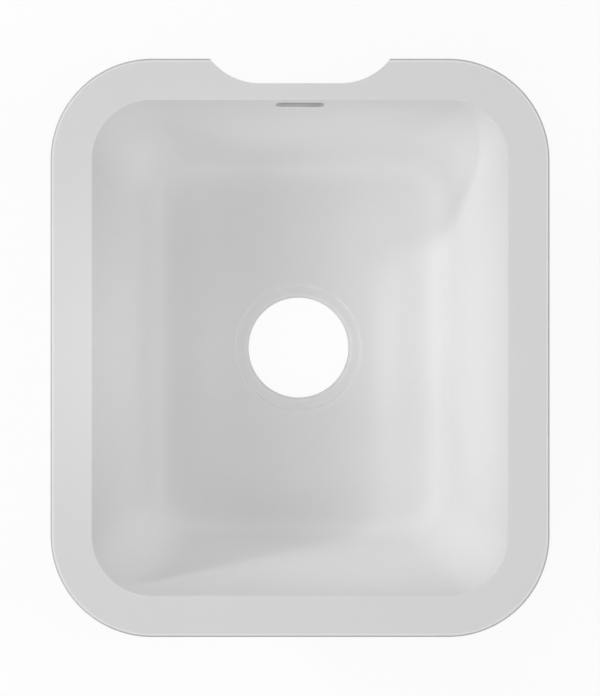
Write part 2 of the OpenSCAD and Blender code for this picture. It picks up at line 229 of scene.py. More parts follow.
# Turns of the rings round the plate's outer edge
PLATE_EDGE_TURNS = (0.4, 0.8, 1.2, math.pi / 2)

# Shading: degrees of turn that make an edge sharp, and how much large faces count in the normals
SHARP_DEGREES = 32
FACE_WEIGHT = 60

# Finishes of the casting, by their place in its list of materials. The edge and drain finishes are lighter
# as painted highlights, and the back is darker, partly as painted shade
FACE, EDGE_HIGHLIGHT, DRAIN_HIGHLIGHT, BACK_SHADE = range(4)

# Tones and shades of the finishes. The edge and drain tones are raised above the face as painted
# highlights, and the back tone is lowered, partly as painted shade
FACE_TONE = 0.70
# The machined edge tone is lighter than the face as a painted highlight along the flange's edge strip, and
# as painted light in the cut faces of the slot and notch
EDGE_HIGHLIGHT_TONE = 0.80
# The turned drain tone is lighter than the face as a painted highlight on the drain lip and the recess
# step
DRAIN_HIGHLIGHT_TONE = 0.75
# The raw back tone is partly the mould finish and partly painted shade, which darkens the flange's outer
# side like the shade that falls there
BACK_SHADE_TONE = 0.62
SMOOTH_CAST = {"cloud_swing": 0.008, "grain_swing": 0.012, "roughcast": 0.03}
RAW_CAST = {"cloud_swing": 0.04, "grain_swing": 0.03, "roughcast": 0.25}
RUBBER = ((0.016, 0.016, 0.016), (0.028, 0.028, 0.028))
STEEL = ((0.50, 0.50, 0.51), (0.62, 0.62, 0.63))
BRASS = ((0.62, 0.44, 0.17), (0.74, 0.56, 0.25))
COVER_PLASTIC = ((0.69, 0.69, 0.67), (0.74, 0.74, 0.72))
ELBOW_PLASTIC = ((0.39, 0.40, 0.41), (0.44, 0.45, 0.46))

# The middle range that most of a noise lies in, and the narrower one of a fine grain
NOISE_RANGE = (0.3, 0.7)
GRAIN_RANGE = (0.35, 0.65)
GLOSS_IOR = 1.5

# Picture: its height in pixels, the size of a pixel at the rim, and the camera's place
PICTURE_H = 696
PIXEL = 0.8833 * MM
SENSOR_W = 36.0
CAMERA_DISTANCE = 22.0
CAMERA_AIM = (-0.16 * PIXEL, -0.1 * PIXEL)
CAMERA_LEAN = (math.radians(-0.46), math.radians(0.08))

# Distant lamps: name, azimuth, elevation and width in degrees, and strength
SUNS = [
    ("key", 153, 32, 3, 0.50),
    ("key_high", 160, 37, 4, 0.21),
    ("left", 180, 35, 40, 0.59),
    ("right_low", 0, 26, 12, 0.26),
    ("right", 0, 33, 12, 0.45),
    ("rear", 90, 26, 12, 0.40),
    ("front", 270, 26, 12, 0.40),
    ("left_front", 225, 33, 12, 0.21),
    ("left_front_high", 225, 55, 12, 0.20),
    ("top", 0, 90, 40, 0.32),
]

# Lamps near the bowl: name, place and strength
BULBS = [
    ("near_left", (-0.12, 0, 0.34), 0.180),
    ("near_middle", (0, 0, 0.15), 0.138),
    ("near_right_front", (0.07, -0.10, 0.15), 0.039),
    ("near_right_rear", (0.07, 0.10, 0.15), 0.042),
]
BULB_R = 0.05
WORLD_STRENGTH = 0.2

# Floor: half its side, its distance below the bowl, its tone, and how white it is seen
FLOOR_HALF = 30
FLOOR_GAP = 0.2 * MM
FLOOR_TONE = 0.5
FLOOR_WHITE = 0.9


def mix(a, b, share):
    """The value at this share of the way from a to b."""
    return a + (b - a) * share


def corner_r(inset):
    """Plan radius of the inside corners where the section lies this far in from the rim."""
    tighten = (max(inset, 0.0) / FLOOR_INSET) ** CORNER_POWER
    return RIM_CORNER_R - (RIM_CORNER_R - FLOOR_CORNER_R) * tighten


def ring(a, b, r, z):
    """A rounded rectangle with half sizes a and b at height z, counter-clockwise from above."""
    centres = [(a - r, b - r), (r - a, b - r), (r - a, r - b), (a - r, r - b)]
    points = []
    for k in range(4):
        (x0, y0), (x1, y1) = centres[k], centres[(k + 1) % 4]
        for i in range(CORNER_STEPS + 1):
            t = math.pi / 2 * (k + i / CORNER_STEPS)
            points.append((x0 + r * math.cos(t), y0 + r * math.sin(t), z))
        t = math.pi / 2 * (k + 1)
        for i in range(1, SIDE_STEPS):
            share = i / SIDE_STEPS
            points.append((mix(x0, x1, share) + r * math.cos(t), mix(y0, y1, share) + r * math.sin(t), z))
    return points


def inner_ring(inset, z):
    """A ring on the inside of the bowl, this far in from the rim."""
    return ring(BOWL_W / 2 - inset, BOWL_L / 2 - inset, corner_r(inset), z)


def outer_ring(inset, z):
    """A ring on the outside of the walls, this far in from the rim."""
    return ring(BOWL_W / 2 - inset, BOWL_L / 2 - inset, corner_r(inset + WALL_RUN) + WALL_RUN, z)


def flange_ring(inset, z):
    """A ring on the flange, this far in from its outer edge."""
    wide = FLANGE_W - inset
    return ring(BOWL_W / 2 + wide, BOWL_L / 2 + wide, RIM_CORNER_R + wide, z)


FLOOR_ANGLES = [math.atan2(y, x) for x, y, _ in inner_ring(FLOOR_INSET, 0)]


def circle(r, z):
    """A circle round the drain whose points face those of the rounded rectangles."""
    return [(r * math.cos(t), r * math.sin(t), z) for t in FLOOR_ANGLES]


def between(ring_from, ring_to, share, z):
    """A ring at this share of the way from one ring to another, seen from above."""
    return [(mix(p[0], q[0], share), mix(p[1], q[1], share), z) for p, q in zip(ring_from, ring_to)]


def round_point(inset, z, r, turn):
    """Inset and height on a round whose sharp corner lies at this inset and height."""
    return inset + r * ROUND_RUN - r * math.sin(turn), z + r * (1 - math.cos(turn))


def mesh_piece(name, shells):
    """A mesh of quads through rings. A shell is (rings, closed): a closed one joins its last ring to its
    first, and any other gets a cap at both ends."""
    bm = bmesh.new()
    for rings, closed in shells:
        rows = [[bm.verts.new(p) for p in r] for r in rings]
        count = len(rows[0])
        for lower, upper in zip(rows, rows[1:] + (rows[:1] if closed else [])):
            for i in range(count):
                j = (i + 1) % count
                bm.faces.new((lower[i], lower[j], upper[j], upper[i]))
        if not closed:
            bm.faces.new(rows[0])
            bm.faces.new(rows[-1])
    bmesh.ops.recalc_face_normals(bm, faces=bm.faces)
    mesh = bpy.data.meshes.new(name)
    bm.to_mesh(mesh)
    bm.free()
    piece = bpy.data.objects.new(name, mesh)
    bpy.context.scene.collection.objects.link(piece)
    return piece


def soft_corners(corners):
    """A closed outline through (x, y, round) corners, each turned through an arc of its own radius."""
    points = []
    for i, (x, y, r) in enumerate(corners):
        here = Vector((x, y))
        if r == 0:
            points.append(here)
            continue
        before = (Vector(corners[i - 1][:2]) - here).normalized()
        after = (Vector(corners[(i + 1) % len(corners)][:2]) - here).normalized()
        half = before.angle(after) / 2
        centre = here + (before + after).normalized() * (r / math.sin(half))
        start = here + before * (r / math.tan(half)) - centre
        end = here + after * (r / math.tan(half)) - centre
        swing = math.pi - 2 * half
        for k in range(SOFT_STEPS + 1):
            share = k / SOFT_STEPS
            arc = start * math.sin((1 - share) * swing) + end * math.sin(share * swing)
            points.append(centre + arc / math.sin(swing))
    return points


def turned(profile, place, steps=TURN_STEPS):
    """Rings of a profile of (radius, height) points turned about the Z axis of a place."""
    turns = [2 * math.pi * i / steps for i in range(steps)]
    return [[place @ Vector((r * math.cos(t), r * math.sin(t), h)) for t in turns] for r, h in profile]


def turned_piece(name, profile, places, steps=TURN_STEPS):
    """A mesh with the same turned shape at each place."""
    return mesh_piece(name, [(turned(profile, place, steps), False) for place in places])


def rounded_outline(w, h, r, steps):
    """Points of a rounded rectangle, counter-clockwise."""
    points = []
    for k, (sx, sy) in enumerate(((1, 1), (-1, 1), (-1, -1), (1, -1))):
        for i in range(steps + 1):
            t = math.pi / 2 * (k + i / steps)
            points.append((sx * (w / 2 - r) + r * math.cos(t), sy * (h / 2 - r) + r * math.sin(t)))
    return points


def across_block(name, half_w, outline):
    """A prism that runs left to right, from (y, z) points in the plane x = 0."""
    rings = [[(x, y, z) for y, z in outline] for x in (-half_w, half_w)]
    return mesh_piece(name, [(rings, False)])


def apply_modifiers(piece):
    """Makes the result of a piece's modifiers its mesh."""
    graph = bpy.context.evaluated_depsgraph_get()
    done = bpy.data.meshes.new_from_object(piece.evaluated_get(graph))
    piece.modifiers.clear()
    piece.data = done


def combine(piece, tool, operation):
    """Joins the tool to the piece (UNION) or takes it away (DIFFERENCE), and deletes the tool."""
    modifier = piece.modifiers.new("combine", "BOOLEAN")
    modifier.operation = operation
    modifier.solver = "EXACT"
    modifier.object = tool
    apply_modifiers(piece)
    bpy.data.objects.remove(tool)


def shade(piece):
    """Smooth faces, with edges kept sharp where the surface turns by more than the limit."""
    bm = bmesh.new()
    bm.from_mesh(piece.data)
    for f in bm.faces:
        f.smooth = True
    for e in bm.edges:
        e.smooth = e.calc_face_angle(0.0) < math.radians(SHARP_DEGREES)
    bm.to_mesh(piece.data)
    bm.free()
    weighted = piece.modifiers.new("weighted", "WEIGHTED_NORMAL")
    weighted.keep_sharp = True
    weighted.weight = FACE_WEIGHT
    apply_modifiers(piece)


def on_wall(x, v, w):
    """A place on the rear wall's outside, with Z out of the wall and Y up along it."""
    place = Matrix((Vector((-1, 0, 0)), WALL_UP, WALL_OUT)).transposed().to_4x4()
    place.translation = WALL_TOP + WALL_UP * v + WALL_OUT * w + Vector((x, 0, 0))
    return place


def screw_places():
    """The four places on the rear wall's outside where a screw goes in."""
    upper_v = -PLATE_GAP - SCREW_EDGE
    rows = (upper_v, upper_v - SCREW_PITCH_V)
    return [on_wall(side * SCREW_PITCH_X / 2, v, 0) for side in (-1, 1) for v in rows]


def outlet_place(z):
    """A place on the outlet's upright axis."""
    return Matrix.Translation((0, OUTLET_Y, z))


def drain_rings():
    """From the underside up the drain hole and over its lip."""
    lip_z = RECESS_Z - DRAIN_LIP_R
    yield circle(DRAIN_R + STEP_SOFT, 0)
    yield circle(DRAIN_R, STEP_SOFT)
    yield circle(DRAIN_R, lip_z / 2)
    for i in range(LIP_STEPS):
        t = math.pi / 2 * i / LIP_STEPS
        yield circle(DRAIN_R + DRAIN_LIP_R * (1 - math.cos(t)), lip_z + DRAIN_LIP_R * math.sin(t))


def recess_rings():
    """Across the flat of the recess round the drain."""
    for share in RECESS_SHARES:
        yield circle(mix(DRAIN_R + DRAIN_LIP_R, RECESS_FOOT_R, share), RECESS_Z)


def step_rings():
    """Up the step at the edge of the recess."""
    yield circle(RECESS_FOOT_R - STEP_SOFT, RECESS_Z)
    for across, up in STEP_SHARES:
        yield circle(mix(RECESS_FOOT_R, RECESS_TOP_R, across), mix(RECESS_Z, FLOOR_T, up))


def bend_points():
    """Inset and height up the bend from floor to wall. Its curvature swells from nothing and dies away
    again, and it cuts its corner as deep as the round of the same radius."""
    pieces = ROUND_STEPS * BEND_FINENESS
    run = 0.0
    rise = 0.0
    unit = [(run, rise)]
    for i in range(pieces):
        s = (i + 0.5) / pieces
        turn = ROUND_TURN * (s - math.sin(2 * math.pi * s) / (2 * math.pi))
        run += math.cos(turn) / pieces
        rise += math.sin(turn) / pieces
        unit.append((run, rise))
    corner = run - rise / math.tan(ROUND_TURN)
    middle = unit[pieces // 2]
    cut = FLOOR_ROUND_R * (1 / math.cos(ROUND_TURN / 2) - 1)
    size = cut / math.hypot(middle[0] - corner, middle[1])
    foot = (TOTAL_H - FLOOR_EDGE_Z) * LEAN + corner * size
    return [(foot - x * size, FLOOR_EDGE_Z + y * size) for x, y in unit[::BEND_FINENESS]]


def inside_rings():
    """From the recess, across the floor and up the walls to the rim."""
    yield circle(RECESS_TOP_R + STEP_SOFT, FLOOR_T)
    bend = bend_points()
    patch = circle(DRAIN_PATCH_R, FLOOR_T)
    foot = inner_ring(*bend[0])
    for i in range(FLOOR_STEPS):
        share = i / FLOOR_STEPS
        yield between(patch, foot, share, FLOOR_T + FLOOR_FALL * share * share * (3 - 2 * share))
    for inset, z in bend:
        yield inner_ring(inset, z)
    for i in range(1, WALL_STEPS + 1):
        z = mix(bend[-1][1], TOTAL_H - RIM_EDGE_R, i / WALL_STEPS)
        yield inner_ring((TOTAL_H - z) * LEAN, z)


def flange_rings():
    """From the rim across the flange's face."""
    for inset, drop in RIM_SHARES:
        yield flange_ring(FLANGE_W + inset * RIM_EDGE_R, TOTAL_H - drop * RIM_EDGE_R)
    yield flange_ring(FLANGE_W - RIM_EDGE_R, TOTAL_H)
    for share in FLAT_SHARES:
        yield flange_ring(mix(FLANGE_W - RIM_EDGE_R, ARRIS_IN, share), TOTAL_H)


def edge_round_ring(i):
    """A ring on the round of the flange's upper outer edge, from the face down."""
    t = math.pi / 2 * i / EDGE_STEPS
    inset = FLANGE_DRAFT + FLANGE_EDGE_R * (1 - math.sin(t))
    return flange_ring(inset, TOTAL_H - FLANGE_EDGE_R * (1 - math.cos(t)))


def arris_rings():
    """The strip along the flange's outer edge, up to where its round turns steep."""
    yield flange_ring(ARRIS_IN, TOTAL_H)
    for i in range(ARRIS_STEPS):
        yield edge_round_ring(i)


def back_rings():
    """Down the flange's side, under it, down the outside of the walls and across the underside."""
    for i in range(ARRIS_STEPS, EDGE_STEPS + 1):
        yield edge_round_ring(i)
    for share in SIDE_SHARES:
        yield flange_ring(FLANGE_DRAFT * (1 - share), mix(TOTAL_H - FLANGE_EDGE_R, FLANGE_Z, share))
    yield flange_ring(0, FLANGE_Z)
    wall_top = outer_ring(FLANGE_T * LEAN - WALL_RUN, FLANGE_Z)
    for share in (*FLAT_SHARES, 1.0):
        yield between(flange_ring(0, FLANGE_Z), wall_top, share, FLANGE_Z)
    round_z = OUTER_ROUND_R * (1 - math.sin(WALL_SLOPE))
    for share in WALL_SHARES:
        z = mix(FLANGE_Z, round_z, share)
        yield outer_ring((TOTAL_H - z) * LEAN - WALL_RUN, z)
    wall_inset = TOTAL_H * LEAN - WALL_RUN
    for i in range(ROUND_STEPS, -1, -1):
        yield outer_ring(*round_point(wall_inset, 0, OUTER_ROUND_R, ROUND_TURN * i / ROUND_STEPS))
    foot = outer_ring(wall_inset + OUTER_ROUND_R * ROUND_RUN, 0)
    for share in UNDERSIDE_SHARES:
        yield between(foot, circle(DRAIN_R + STEP_SOFT, 0), share, 0)


def notch_cutter():
    """An upright prism in the outline of the tap notch."""
    outline = []
    for side in (1, -1):
        for i in range(NOTCH_STEPS + 1):
            t = math.pi * i / NOTCH_STEPS - math.pi / 2
            x = NOTCH_STRAIGHT / 2 + NOTCH_R * math.cos(t)
            outline.append((side * x, side * NOTCH_R * math.sin(t)))
    middle_y = NOTCH_Y + NOTCH_R
    ends = (FLANGE_Z - 2 * PAST, TOTAL_H + 2 * PAST)
    rings = [[(x, middle_y + y, z) for x, y in outline] for z in ends]
    return mesh_piece("notch_cutter", [(rings, False)])


def slot_cutter():
    """A sheared prism through the rear wall whose mouth flares into a small rounded lip."""
    mid_drop = SLOT_DROP + SLOT_H * math.cos(WALL_SLOPE) / 2
    mid = Vector((0, BOWL_L / 2 - mid_drop * LEAN, TOTAL_H - mid_drop))
    slide = math.tan(SLOT_SLOPE - WALL_SLOPE)
    sections = [(-MOUTH_PAST, SLOT_LIP_R + MOUTH_PAST)]
    for i in range(LIP_STEPS - 1, 0, -1):
        t = math.pi / 2 * i / LIP_STEPS
        sections.append((SLOT_LIP_R * (1 - math.sin(t)), SLOT_LIP_R * (1 - math.cos(t))))
    sections += [(SLOT_LIP_R, 0), (WALL_T + SLOT_PAST, 0)]
    rings = []
    for depth, grow in sections:
        centre = mid + WALL_OUT * depth - WALL_UP * depth * slide
        w, h, r = SLOT_W + 2 * grow, SLOT_H + 2 * grow, SLOT_CORNER_R + grow
        outline = rounded_outline(w, h, r, SLOT_CORNER_STEPS)
        rings.append([centre + Vector((-x, 0, 0)) + WALL_UP * y for x, y in outline])
    return mesh_piece("slot_cutter", [(rings, False)])


def insert_hole_cutter():
    """The four blind holes that hold the threaded inserts."""
    profile = [(INSERT_R, -INSERT_L - SEAT_GAP), (INSERT_R, PAST)]
    return turned_piece("insert_hole_cutter", profile, screw_places())


def make_bowl(finishes):
    """The casting. Its finishes are those of its sanded face, its machined edges, its turned drain seat,
    and its back as it left the mould. The lighter tones of its edges and drain seat are painted
    highlights, and the darker tone of its back is partly painted shade on the flange's side."""
    sections = [
        # The drain hole, its lip and the recess step wear the turned finish, whose lighter tone is a
        # painted highlight
        (DRAIN_HIGHLIGHT, drain_rings()),
        (FACE, recess_rings()),
        (DRAIN_HIGHLIGHT, step_rings()),
        (FACE, inside_rings()),
        (FACE, flange_rings()),
        # The edge strip wears the machined finish, whose lighter tone is a painted highlight
        (EDGE_HIGHLIGHT, arris_rings()),
        # The flange's side, underside and outer walls wear the raw finish, whose darker tone is partly
        # painted shade
        (BACK_SHADE, back_rings()),
    ]
    rings = []
    kinds = []
    for kind, section in sections:
        for r in section:
            rings.append(r)
            kinds.append(kind)
    bowl = mesh_piece("bowl_casting", [(rings, True)])
    for polygon in bowl.data.polygons:
        polygon.material_index = kinds[polygon.index // len(rings[0])]
    cutters = [notch_cutter(), slot_cutter(), insert_hole_cutter()]
    # The cut faces wear the machined finish, whose lighter tone is painted light in the slot and notch
    for polygon in [p for cutter in cutters for p in cutter.data.polygons]:
        polygon.material_index = EDGE_HIGHLIGHT
    for piece in (bowl, *cutters):
        for finish in finishes:
            piece.data.materials.append(finish)
    for cutter in cutters:
        combine(bowl, cutter, "DIFFERENCE")
    shade(bowl)
    return bowl


def wall_line(z, w):
    """How far back the rear wall's outside lies at this height, moved w out of the wall."""
    return WALL_TOP.y - (FLANGE_Z - z) * LEAN + w / math.cos(WALL_SLOPE)


def cover_plate():
    """The mounting plate, with a soft outer edge."""
    profile = [(0, 0), (0, PLATE_T - PLATE_EDGE_R)]
    for t in PLATE_EDGE_TURNS:
        profile.append((PLATE_EDGE_R * (1 - math.cos(t)), PLATE_T - PLATE_EDGE_R * (1 - math.sin(t))))
    centre = on_wall(0, -PLATE_GAP - PLATE_H / 2, PLATE_W0)
    rings = []
    for inset, h in profile:
        w, v, r = PLATE_W - 2 * inset, PLATE_H - 2 * inset, PLATE_CORNER_R - inset
        outline = rounded_outline(w, v, r, PLATE_CORNER_STEPS)
        rings.append([centre @ Vector((x, y, h)) for x, y in outline])
    return mesh_piece("overflow_cover", [(rings, False)])


def chamber_block():
    """The chamber's outside, with the edges away from the wall rounded."""
    back_w = PLATE_W0 + PLATE_T / 3
    top_z = (WALL_TOP - WALL_UP * PLATE_GAP + WALL_OUT * (PLATE_W0 + PLATE_T)).z
    outline = [
        (wall_line(top_z, back_w), top_z),
        (wall_line(CHAMBER_FLOOR_Z, back_w), CHAMBER_FLOOR_Z),
        (HOUSING_REAR_Y, CHAMBER_FLOOR_Z),
        (HOUSING_REAR_Y, top_z),
    ]
    block = across_block("chamber_block", CHAMBER_W / 2, outline)
    bm = bmesh.new()
    bm.from_mesh(block.data)
    rear = [v for v in bm.verts if v.co.y > HOUSING_REAR_Y - PAST]
    edges = [e for e in bm.edges if e.verts[0] in rear or e.verts[1] in rear]
    bmesh.ops.bevel(bm, geom=edges, offset=CHAMBER_EDGE_R, segments=CHAMBER_EDGE_STEPS, profile=0.5,
                    affect="EDGES", clamp_overlap=True)
    bm.to_mesh(block.data)
    bm.free()
    return block


def chamber_hollow():
    """The space inside the chamber, open to the wall."""
    top_z = (WALL_TOP - WALL_UP * (PLATE_GAP + GASKET_RIM) + WALL_OUT * PLATE_W0).z
    floor_z = CHAMBER_FLOOR_Z + HOUSING_T
    rear = HOUSING_REAR_Y - HOUSING_T
    outline = [
        (wall_line(top_z, -PAST), top_z),
        (wall_line(floor_z, -PAST), floor_z),
        (rear, floor_z),
        (rear, top_z),
    ]
    return across_block("chamber_hollow", CHAMBER_W / 2 - HOUSING_T, outline)


def socket_block():
    """The outlet socket's outside, with a soft lip at its lower end."""
    profile = [
        (SOCKET_OUTER_R - 2 * SOCKET_LIP, 0),
        (SOCKET_OUTER_R - SOCKET_LIP, 0),
        (SOCKET_OUTER_R - SOCKET_CORNER, SOCKET_CORNER),
        (SOCKET_OUTER_R, SOCKET_LIP),
        (SOCKET_OUTER_R, SOCKET_L + HOUSING_T / 2),
    ]
    return turned_piece("socket", profile, [outlet_place(SOCKET_END_Z)], SOCKET_STEPS)


def socket_bore():
    """The space inside the outlet socket, flared at its mouth."""
    profile = [(SOCKET_R + 2 * SOCKET_LIP, -SOCKET_LIP), (SOCKET_R, SOCKET_LIP), (SOCKET_R, SOCKET_L)]
    return turned_piece("socket_bore", profile, [outlet_place(SOCKET_END_Z)], SOCKET_STEPS)


def outlet_hole():
    """The hole in the chamber's floor above the socket."""
    hole_r = ELBOW_BORE_R + OUTLET_RELIEF
    return turned_piece("outlet_hole", [(hole_r, -PAST), (hole_r, HOUSING_T + PAST)],
                        [outlet_place(CHAMBER_FLOOR_Z)])


def screw_holes():
    """The four screw holes through the mounting plate."""
    hole_r = SCREW_R + SCREW_GAP
    profile = [(hole_r, PLATE_W0 - PAST), (hole_r, PLATE_W0 + PLATE_T + PAST)]
    return turned_piece("screw_holes", profile, screw_places())


def clip_slits():
    """The two slits through the socket's sides that take the clip's legs."""
    reach = SOCKET_OUTER_R + PAST
    shells = []
    for side in (-1, 1):
        near, far = side * CLIP_GROOVE_R, side * (SOCKET_R + CLIP_GAP)
        outline = [(near, -CLIP_SLIT), (far, -CLIP_SLIT), (far, CLIP_SLIT), (near, CLIP_SLIT)]
        rings = [[(x, OUTLET_Y + y, CLIP_Z + z) for y, z in outline] for x in (-reach, reach)]
        shells.append((rings, False))
    return mesh_piece("clip_slits", shells)


def make_housing():
    """The overflow cover: a plate, a hollow chamber and the outlet socket below it."""
    housing = cover_plate()
    combine(housing, chamber_block(), "UNION")
    combine(housing, socket_block(), "UNION")
    for cutter in (chamber_hollow(), socket_bore(), outlet_hole(), screw_holes(), clip_slits()):
        combine(housing, cutter, "DIFFERENCE")
    shade(housing)
    return housing


def pipe_ring(turn, along, r):
    """A ring round the elbow's middle line: this far past the point of the bend at this turn."""
    heading = Vector((math.sin(turn), 0, -math.cos(turn)))
    side = Vector((math.cos(turn), 0, math.sin(turn)))
    on_bend = Vector((BEND_R * (1 - math.cos(turn)), OUTLET_Y, BEND_Z - BEND_R * math.sin(turn)))
    centre = on_bend + heading * along
    turns = [2 * math.pi * i / TURN_STEPS for i in range(TURN_STEPS)]
    return [centre + r * (math.cos(t) * side + math.sin(t) * Vector((0, 1, 0))) for t in turns]


def elbow_ring(run, r):
    """A ring at this run from the start of the bend, which is negative in the spigot above it."""
    if run < 0:
        return pipe_ring(0, run, r)
    if run < BEND_RUN:
        return pipe_ring(run / BEND_R, 0, r)
    return pipe_ring(TAIL_TURN, run - BEND_RUN, r)


def groove(z, half, floor_r):
    """Corners of a groove round the spigot, from its upper edge to its lower one."""
    top, bottom = BEND_Z - (z + half), BEND_Z - (z - half)
    return [
        (top, SPIGOT_R, EDGE_SOFT),
        (top, floor_r, 0),
        (bottom, floor_r, 0),
        (bottom, SPIGOT_R, EDGE_SOFT),
    ]


def spigot_corners():
    """(run, radius, round) corners down the outside of the spigot and its collar."""
    top = BEND_Z - SPIGOT_TOP_Z
    collar_top = BEND_Z - (COLLAR_Z + COLLAR_T)
    collar_end = BEND_Z - COLLAR_Z
    corners = [(top, ELBOW_BORE_R, 2 * EDGE_SOFT), (top, SPIGOT_R, 3 * EDGE_SOFT)]
    corners += groove(O_RING_Z, O_RING_GROOVE, O_RING_GROOVE_R)
    corners += groove(CLIP_Z, CLIP_SLIT, CLIP_GROOVE_R)
    corners += [
        (collar_top, SPIGOT_R, EDGE_SOFT),
        (collar_top, COLLAR_R, 2 * EDGE_SOFT),
        (collar_end, COLLAR_R, 2 * EDGE_SOFT),
        (collar_end, TAIL_R, EDGE_SOFT),
    ]
    return corners


def barb_corners():
    """(run, radius, round) corners along the barbed end of the tail, up to its bore."""
    cone_share = (BARB_R - TAIL_R) / (BARB_R - TAIL_R + BARB_SINK)
    corners = []
    for k in range(BARBS, 0, -1):
        start = TIP_RUN - k * BARB_PITCH
        crest_end = start + BARB_CREST
        cone_end = crest_end + (BARB_PITCH - BARB_CREST) * cone_share
        corners += [
            (start, TAIL_R, 0),
            (start, BARB_R, EDGE_SOFT),
            (crest_end, BARB_R, EDGE_SOFT),
            (cone_end, TAIL_R, 0),
        ]
    return corners + [(TIP_RUN, TAIL_R, 2 * EDGE_SOFT), (TIP_RUN, ELBOW_BORE_R, 2 * EDGE_SOFT)]


def hose_stop():
    """Rings of the collar that stops the hose, where the bend ends."""
    half = HOSE_STOP_T / 2
    inside = TAIL_R - half / 3
    outline = soft_corners([
        (-half, inside, 0),
        (-half, HOSE_STOP_R, 2 * EDGE_SOFT),
        (half, HOSE_STOP_R, 2 * EDGE_SOFT),
        (half, inside, 0),
    ])
    return [pipe_ring(TAIL_TURN, along, r) for along, r in outline]


def make_elbow():
    """Spigot with its two grooves and collar, bend, hose stop and barbed tail, with the bore through."""
    bends = [BEND_RUN * i / BEND_STEPS for i in range(BEND_STEPS + 1)]
    corners = spigot_corners()
    corners += [(run, TAIL_R, 0) for run in bends]
    corners += barb_corners()
    corners += [(run, ELBOW_BORE_R, 0) for run in reversed(bends)]
    pipe = [elbow_ring(run, r) for run, r in soft_corners(corners)]
    elbow = mesh_piece("hose_elbow", [(pipe, True), (hose_stop(), True)])
    shade(elbow)
    return elbow


def key_ring(place, h, r):
    """A ring in the outline of the hexagonal key hole."""
    points = []
    for i in range(TURN_STEPS):
        t = 2 * math.pi * i / TURN_STEPS
        from_flat = t % (math.pi / 3) - math.pi / 6
        reach = r * math.cos(math.pi / 6) / math.cos(from_flat)
        points.append(place @ Vector((reach * math.cos(t), reach * math.sin(t), h)))
    return points


def make_screws():
    """Four pan-head screws with a hexagonal key hole."""
    start, top = HEAD_W0 - SCREW_L, HEAD_W0 + SCREW_HEAD_H
    profile = [
        (SCREW_R - SCREW_LEAD, start),
        (SCREW_R, start + SCREW_LEAD),
        (SCREW_R, HEAD_W0),
        (SCREW_HEAD_R - EDGE_SOFT, HEAD_W0),
        (SCREW_HEAD_R, HEAD_W0 + EDGE_SOFT),
    ]
    for i in range(HEAD_STEPS + 1):
        t = math.pi / 2 * i / HEAD_STEPS
        r = SCREW_HEAD_R - HEAD_EDGE_R * (1 - math.cos(t))
        profile.append((r, top - HEAD_EDGE_R * (1 - math.sin(t))))
    key = [
        (top, KEY_R + EDGE_SOFT),
        (top - EDGE_SOFT, KEY_R),
        (top - KEY_DEPTH, KEY_R),
        (top - KEY_DEPTH - EDGE_SOFT, KEY_R / 3),
    ]
    shells = []
    for place in screw_places():
        rings = turned(profile, place) + [key_ring(place, h, r) for h, r in key]
        shells.append((rings, False))
    screws = mesh_piece("cover_screws", shells)
    shade(screws)
    return screws


def make_washers():
    """Four flat washers with softened edges."""
    hole_r, soft, top = SCREW_R + SCREW_GAP / 2, WASHER_T / 4, WASHER_W0 + WASHER_T
    profile = soft_corners([
        (hole_r, WASHER_W0, soft),
        (WASHER_R, WASHER_W0, soft),
        (WASHER_R, top, soft),
        (hole_r, top, soft),
    ])
    washers = mesh_piece("cover_washers", [(turned(profile, place), True) for place in screw_places()])
    shade(washers)
    return washers


def clip_path():
    """(x, y, turn, size) points along the middle of the clip, from one leg's tip to the other's."""
    leg_y = SOCKET_R - CLIP_LEG_W / 2
    corner_x = -SOCKET_OUTER_R - MOVING_GAP - CLIP_LEG_W / 2 + CLIP_BEND_R
    tip_x = SOCKET_OUTER_R - CLIP_LEG_W
    leg = [(tip_x - widths * CLIP_LEG_W, leg_y, 0, size) for widths, size in CLIP_TIP]
    leg.append((0, leg_y, 0, 1))
    path = list(leg)
    for corner_y, first in ((leg_y - CLIP_BEND_R, 0), (CLIP_BEND_R - leg_y, math.pi / 2)):
        for i in range(BEND_STEPS + 1):
            t = first + math.pi / 2 * i / BEND_STEPS
            path.append((corner_x - CLIP_BEND_R * math.sin(t), corner_y + CLIP_BEND_R * math.cos(t), t, 1))
    return path + [(x, -y, math.pi, size) for x, y, _, size in reversed(leg)]


def make_clip():
    """A flat wire bent into a U, with its legs' tips drawn in."""
    half_w, half_t = CLIP_LEG_W / 2, CLIP_T / 2
    section = soft_corners([
        (-half_w, -half_t, EDGE_SOFT),
        (half_w, -half_t, EDGE_SOFT),
        (half_w, half_t, EDGE_SOFT),
        (-half_w, half_t, EDGE_SOFT),
    ])
    rings = []
    for x, y, t, size in clip_path():
        out = Vector((-math.sin(t), math.cos(t), 0))
        centre = Vector((x, OUTLET_Y + y, CLIP_Z))
        rings.append([centre + out * p.x * size + Vector((0, 0, p.y * size)) for p in section])
    clip = mesh_piece("retaining_clip", [(rings, False)])
    shade(clip)
    return clip


def grey(value):
    """A neutral colour."""
    return (value, value, value)


def new_material(name):
    """A material with its nodes and links."""
    material = bpy.data.materials.new(name)
    material.use_nodes = True
    return material, material.node_tree.nodes, material.node_tree.links


def noise(nodes, links, scale, detail=3.0, roughness=0.5, stretch=(1, 1, 1)):
    """A noise texture in object space, with scale in cycles per metre."""
    place = nodes.new("ShaderNodeTexCoord")
    mapping = nodes.new("ShaderNodeMapping")
    mapping.inputs["Scale"].default_value = stretch
    texture = nodes.new("ShaderNodeTexNoise")
    texture.inputs["Scale"].default_value = scale
    texture.inputs["Detail"].default_value = detail
    texture.inputs["Roughness"].default_value = roughness
    links.new(place.outputs["Object"], mapping.inputs["Vector"])
    links.new(mapping.outputs["Vector"], texture.inputs["Vector"])
    return texture.outputs["Fac"]


